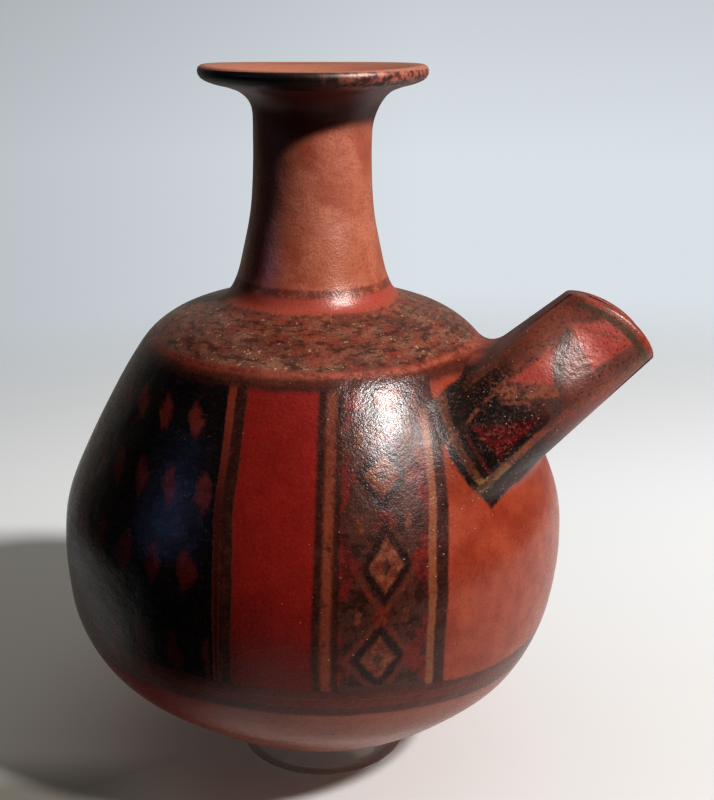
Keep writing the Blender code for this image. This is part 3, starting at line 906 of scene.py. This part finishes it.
def clear_acrylic():
    """Clear plastic with a few scuffs, and a cut end below given a frosting that also serves as a
    painted highlight along the ring's foot.
    """
    acrylic = Finish("clear_acrylic")
    spot = acrylic.place(scale=(1000.0,) * 3)
    scuffs = acrylic.noise(acrylic.vector("MULTIPLY", spot, (1.0, 1.0, 6.0)), 0.35, 4.0, 0.65)
    # The cut end below is left white and less clear, as frosting and partly as a painted highlight
    # along the ring's foot.
    frosted_edge_glint = acrylic.parts(spot)[2].step(0.9, 0.4)
    acrylic.surface(Base_Color=(0.97, 0.985, 0.98, 1.0), IOR=1.49,
                    Roughness=scuffs.step(0.55, 0.75) * 0.1 + 0.03,
                    Alpha=frosted_edge_glint * 0.55 + 0.22, Transmission_Weight=1.0 - frosted_edge_glint)
    return acrylic.material


# ---- display ring and deposit grains ----

def new_tree(name, **sizes):
    """A geometry node tree with named inputs for its sizes and finish, and their outlets."""
    tree = bpy.data.node_groups.new(name, "GeometryNodeTree")
    sockets = {"Geometry": "Geometry", **sizes, "Finish": "Material"}
    for label, kind in sockets.items():
        tree.interface.new_socket(label.replace("_", " "), in_out="INPUT",
                                  socket_type="NodeSocket" + kind)
    tree.interface.new_socket("Geometry", in_out="OUTPUT", socket_type="NodeSocketGeometry")
    trunk = Trunk(tree)
    return trunk, trunk.node("NodeGroupInput").outputs


def end_tree(trunk, shape, finish):
    """Make a tree's instances real, give them their finish and hand them out."""
    real = trunk.wire("GeometryNodeRealizeInstances", shape)
    done = trunk.wire("GeometryNodeSetMaterial", Geometry=real, Material=finish)
    trunk.node("NodeGroupOutput", done)
    return trunk.tree


def ring_tree():
    """Node tree of the ring: a rounded wall section swept around a circle."""
    ring, given = new_tree("turned_ring", Middle_radius="Float", Wall="Float", Height="Float",
                           Edge="Float", Centre="Vector")
    circle = ring.wire("GeometryNodeCurvePrimitiveCircle", Resolution=RING_SIDES,
                       Radius=given["Middle radius"])
    section = ring.wire("GeometryNodeCurvePrimitiveQuadrilateral", Width=given["Wall"],
                        Height=given["Height"])
    section = ring.wire("GeometryNodeFilletCurve", Curve=section, Count=3, Radius=given["Edge"],
                        mode="POLY")
    wall = ring.wire("GeometryNodeCurveToMesh", Curve=circle, Profile_Curve=section)
    placed = ring.wire("GeometryNodeTransform", Geometry=wall, Translation=given["Centre"])
    return end_tree(ring, placed, given["Finish"])


def grain_tree():
    """Node tree that scatters small flattened grains over the wall where it is crusted."""
    drift, given = new_tree("deposit_grains", Density="Float", Smallest="Float",
                            Largest="Float", Seed="Int")
    crust = drift.wire("GeometryNodeInputNamedAttribute", Name="crust", data_type="FLOAT")
    scatter = drift.node("GeometryNodeDistributePointsOnFaces", Mesh=given["Geometry"],
                         Density=crust * given["Density"], Seed=given["Seed"])
    grain = drift.wire("GeometryNodeMeshIcoSphere", Radius=1.0, Subdivisions=1, output="Mesh")
    flat = drift.wire("GeometryNodeTransform", Geometry=grain, Scale=(1.0, 0.8, 0.45))
    size = drift.wire("FunctionNodeRandomValue", None, None, given["Smallest"], given["Largest"],
                      Seed=given["Seed"], data_type="FLOAT", output=1)
    laid = drift.wire("GeometryNodeInstanceOnPoints", Points=scatter.outputs["Points"],
                      Instance=flat, Rotation=scatter.outputs["Rotation"], Scale=size)
    return end_tree(drift, laid, given["Finish"])


def grown(name, tree, base_mesh, **values):
    """Run a node tree on a mesh and keep what it makes as a plain object."""
    holder = put_in_scene(name + "_holder", base_mesh)
    modifier = holder.modifiers.new(name, "NODES")
    modifier.node_group = tree
    for item in tree.interface.items_tree:
        key = item.name.replace(" ", "_")
        if item.in_out == "INPUT" and key in values:
            modifier[item.identifier] = values[key]
    bpy.context.view_layer.update()
    ready = holder.evaluated_get(bpy.context.evaluated_depsgraph_get())
    mesh = bpy.data.meshes.new_from_object(ready)
    mesh.name = name
    bpy.data.objects.remove(holder, do_unlink=True)
    return put_in_scene(name, mesh)


def make_ring(finish):
    """The clear ring, in the place and at the size of its solid."""
    middle = 0.5 * (ring_low + ring_high)
    radius = 0.5 * (ring_high.x - ring_low.x) - 0.5 * RING_WALL
    ring = grown("display_ring", ring_tree(), bpy.data.meshes.new("empty"), Middle_radius=radius,
                 Wall=RING_WALL, Height=ring_high.z - ring_low.z, Edge=RING_EDGE,
                 Centre=(middle.x, 0.0, middle.z), Finish=finish)
    ring.data.shade_smooth()
    ring.data.set_sharp_from_angle(angle=math.radians(50.0))
    return ring


# ---- stage, light and camera ----

def make_stage():
    """A pale round table top whose edge melts into the backdrop."""
    top = bmesh.new()
    bmesh.ops.create_circle(top, cap_ends=True, segments=96, radius=1.4,
                            matrix=Matrix.Translation((BOTTLE_X, 0.0, -0.0001)))
    mesh = bpy.data.meshes.new("pale_table")
    top.to_mesh(mesh)
    top.free()
    table = put_in_scene("pale_table", mesh)
    paper = Finish("pale_paper")
    east, north, _ = paper.parts(paper.place(location=(-BOTTLE_X, 0.0, 0.0)))
    depth = north * VIEW_COSINE - east * VIEW_SINE
    right = east * VIEW_COSINE + north * VIEW_SINE
    # Darker in front and paler towards the back: painted shade and painted light that even out the
    # lamp's falloff; the back is also bluer.
    sheet = depth.fade(-0.05, 0.25, (214, 214, 214), (236, 239, 243))
    # A dark patch at the front left carries the bottle's shadow further forward: painted shadow.
    corner = depth.band(-0.066, -0.024, 0.012) & right.band(-0.130, -0.055, 0.020)
    away = paper.combine(east - 0.08, north - 0.08, 0.0)
    distance = paper.vector("DOT_PRODUCT", away, away).reckon("SQRT")
    edge = depth.step(-0.24, -0.09) & (depth.step(-0.075, -0.045) | right.step(-0.090, -0.035))
    # The paper also has a faint warm glow of its own that lifts its shade: painted light.
    paper.surface(Base_Color=paper.mix(corner, sheet, (120, 116, 110)), Roughness=0.9,
                  Specular_IOR_Level=0.1, Emission_Color=(1.0, 0.95, 0.86, 1.0),
                  Emission_Strength=0.042, Alpha=distance.step(0.62, 0.28) & edge)
    mesh.materials.append(paper.material)


def add_light(name, towards, distance, size, power, colour):
    """A round soft lamp that looks at the middle of the bottle."""
    light = bpy.data.lights.new(name, "AREA")
    light.shape = "DISK"
    light.size = size
    light.energy = power
    light.color = colour
    lamp = put_in_scene(name, light)
    way = Vector(towards).normalized()
    lamp.location = Vector((BOTTLE_X, 0.0, 0.10)) + way * distance
    lamp.rotation_euler = way.to_track_quat("Z", "Y").to_euler()
    return lamp


def make_lights():
    """A warm key lamp, a weak blue one that only glints, and the room's soft light."""
    add_light("key_light", towards=(0.7067, -0.2362, 0.6672), distance=1.139, size=0.11,
              power=12.2, colour=(1.0, 0.985, 0.97))
    window = add_light("window_fill", towards=(-0.751, -0.608, 0.259), distance=1.5, size=0.12,
                       power=0.80, colour=(0.32, 0.52, 1.0))
    window.visible_diffuse = False

    world = bpy.data.worlds.new("soft_room")
    world.use_nodes = True
    room = Trunk(world.node_tree)
    towards = room.wire("ShaderNodeTexCoord", output="Generated")
    rise = room.vector("DOT_PRODUCT", towards, (0, 0, 1))
    behind = room.vector("DOT_PRODUCT", towards, (-VIEW_SINE, VIEW_COSINE, 0))
    left = room.vector("DOT_PRODUCT", towards, (-VIEW_COSINE, -VIEW_SINE, 0))
    backdrop = left.ramp(-0.08, 0.28, 1.0, 0.74) * rise.ramp(-0.12, 0.0, 1.0, 0.86)
    glow = behind.ramp(0.38, 0.78, 0.008, 0.42) * rise.ramp(0.5, 0.8, 1.0, 0.05)
    glow = glow + rise.ramp(0.72, 0.90, 0.0, 0.64)
    seen = room.wire("ShaderNodeLightPath", output="Is Camera Ray")
    sky = world.node_tree.nodes["Background"]
    room.feed(sky.inputs["Color"], room.wire("ShaderNodeMixRGB", seen, (0.57, 0.545, 0.50, 1.0),
                                             (0.52, 0.55, 0.577, 1.0)))
    room.feed(sky.inputs["Strength"], room.wire("ShaderNodeMix", seen, None, glow, backdrop))
    bpy.context.scene.world = world


def make_camera():
    """The photograph's own view: its distance, height, tilt and framing."""
    lens = bpy.data.cameras.new("photo_view")
    lens.sensor_fit = "VERTICAL"
    lens.sensor_height = FILM_HEIGHT
    lens.lens = FOCAL_PIXELS / FRAME_PIXELS * FILM_HEIGHT
    lens.shift_x = SHIFT_PIXELS / FRAME_PIXELS
    lens.clip_start = 0.01
    camera = put_in_scene("photo_view", lens)
    camera.location = (BOTTLE_X + CAMERA_DISTANCE * math.cos(CAMERA_TURN),
                       CAMERA_DISTANCE * math.sin(CAMERA_TURN), RIM_TOP + CAMERA_ABOVE_RIM)
    upright = math.radians(90.0)
    camera.rotation_euler = (upright - CAMERA_DIP, 0.0, upright + CAMERA_TURN)
    bpy.context.scene.camera = camera


bottle = make_vessel()
bottle.data.materials.append(slipped_clay())
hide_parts("vessel")
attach(bottle, "root")

deposit = Finish("pale_deposit")
deposit.surface(Base_Color=slip(186, 156, 130), Roughness=0.55)
grains = grown("deposit_grains", grain_tree(), bottle.data.copy(), Density=60000.0,
               Smallest=0.00008, Largest=0.00027, Seed=7, Finish=deposit.material)
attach(grains, "root")

ring = make_ring(clear_acrylic())
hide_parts("stand_ring")
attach(ring, "root")

make_stage()
make_lights()
make_camera()
bpy.context.scene.view_settings.view_transform = "Standard"
bpy.context.scene.view_settings.look = "High Contrast"
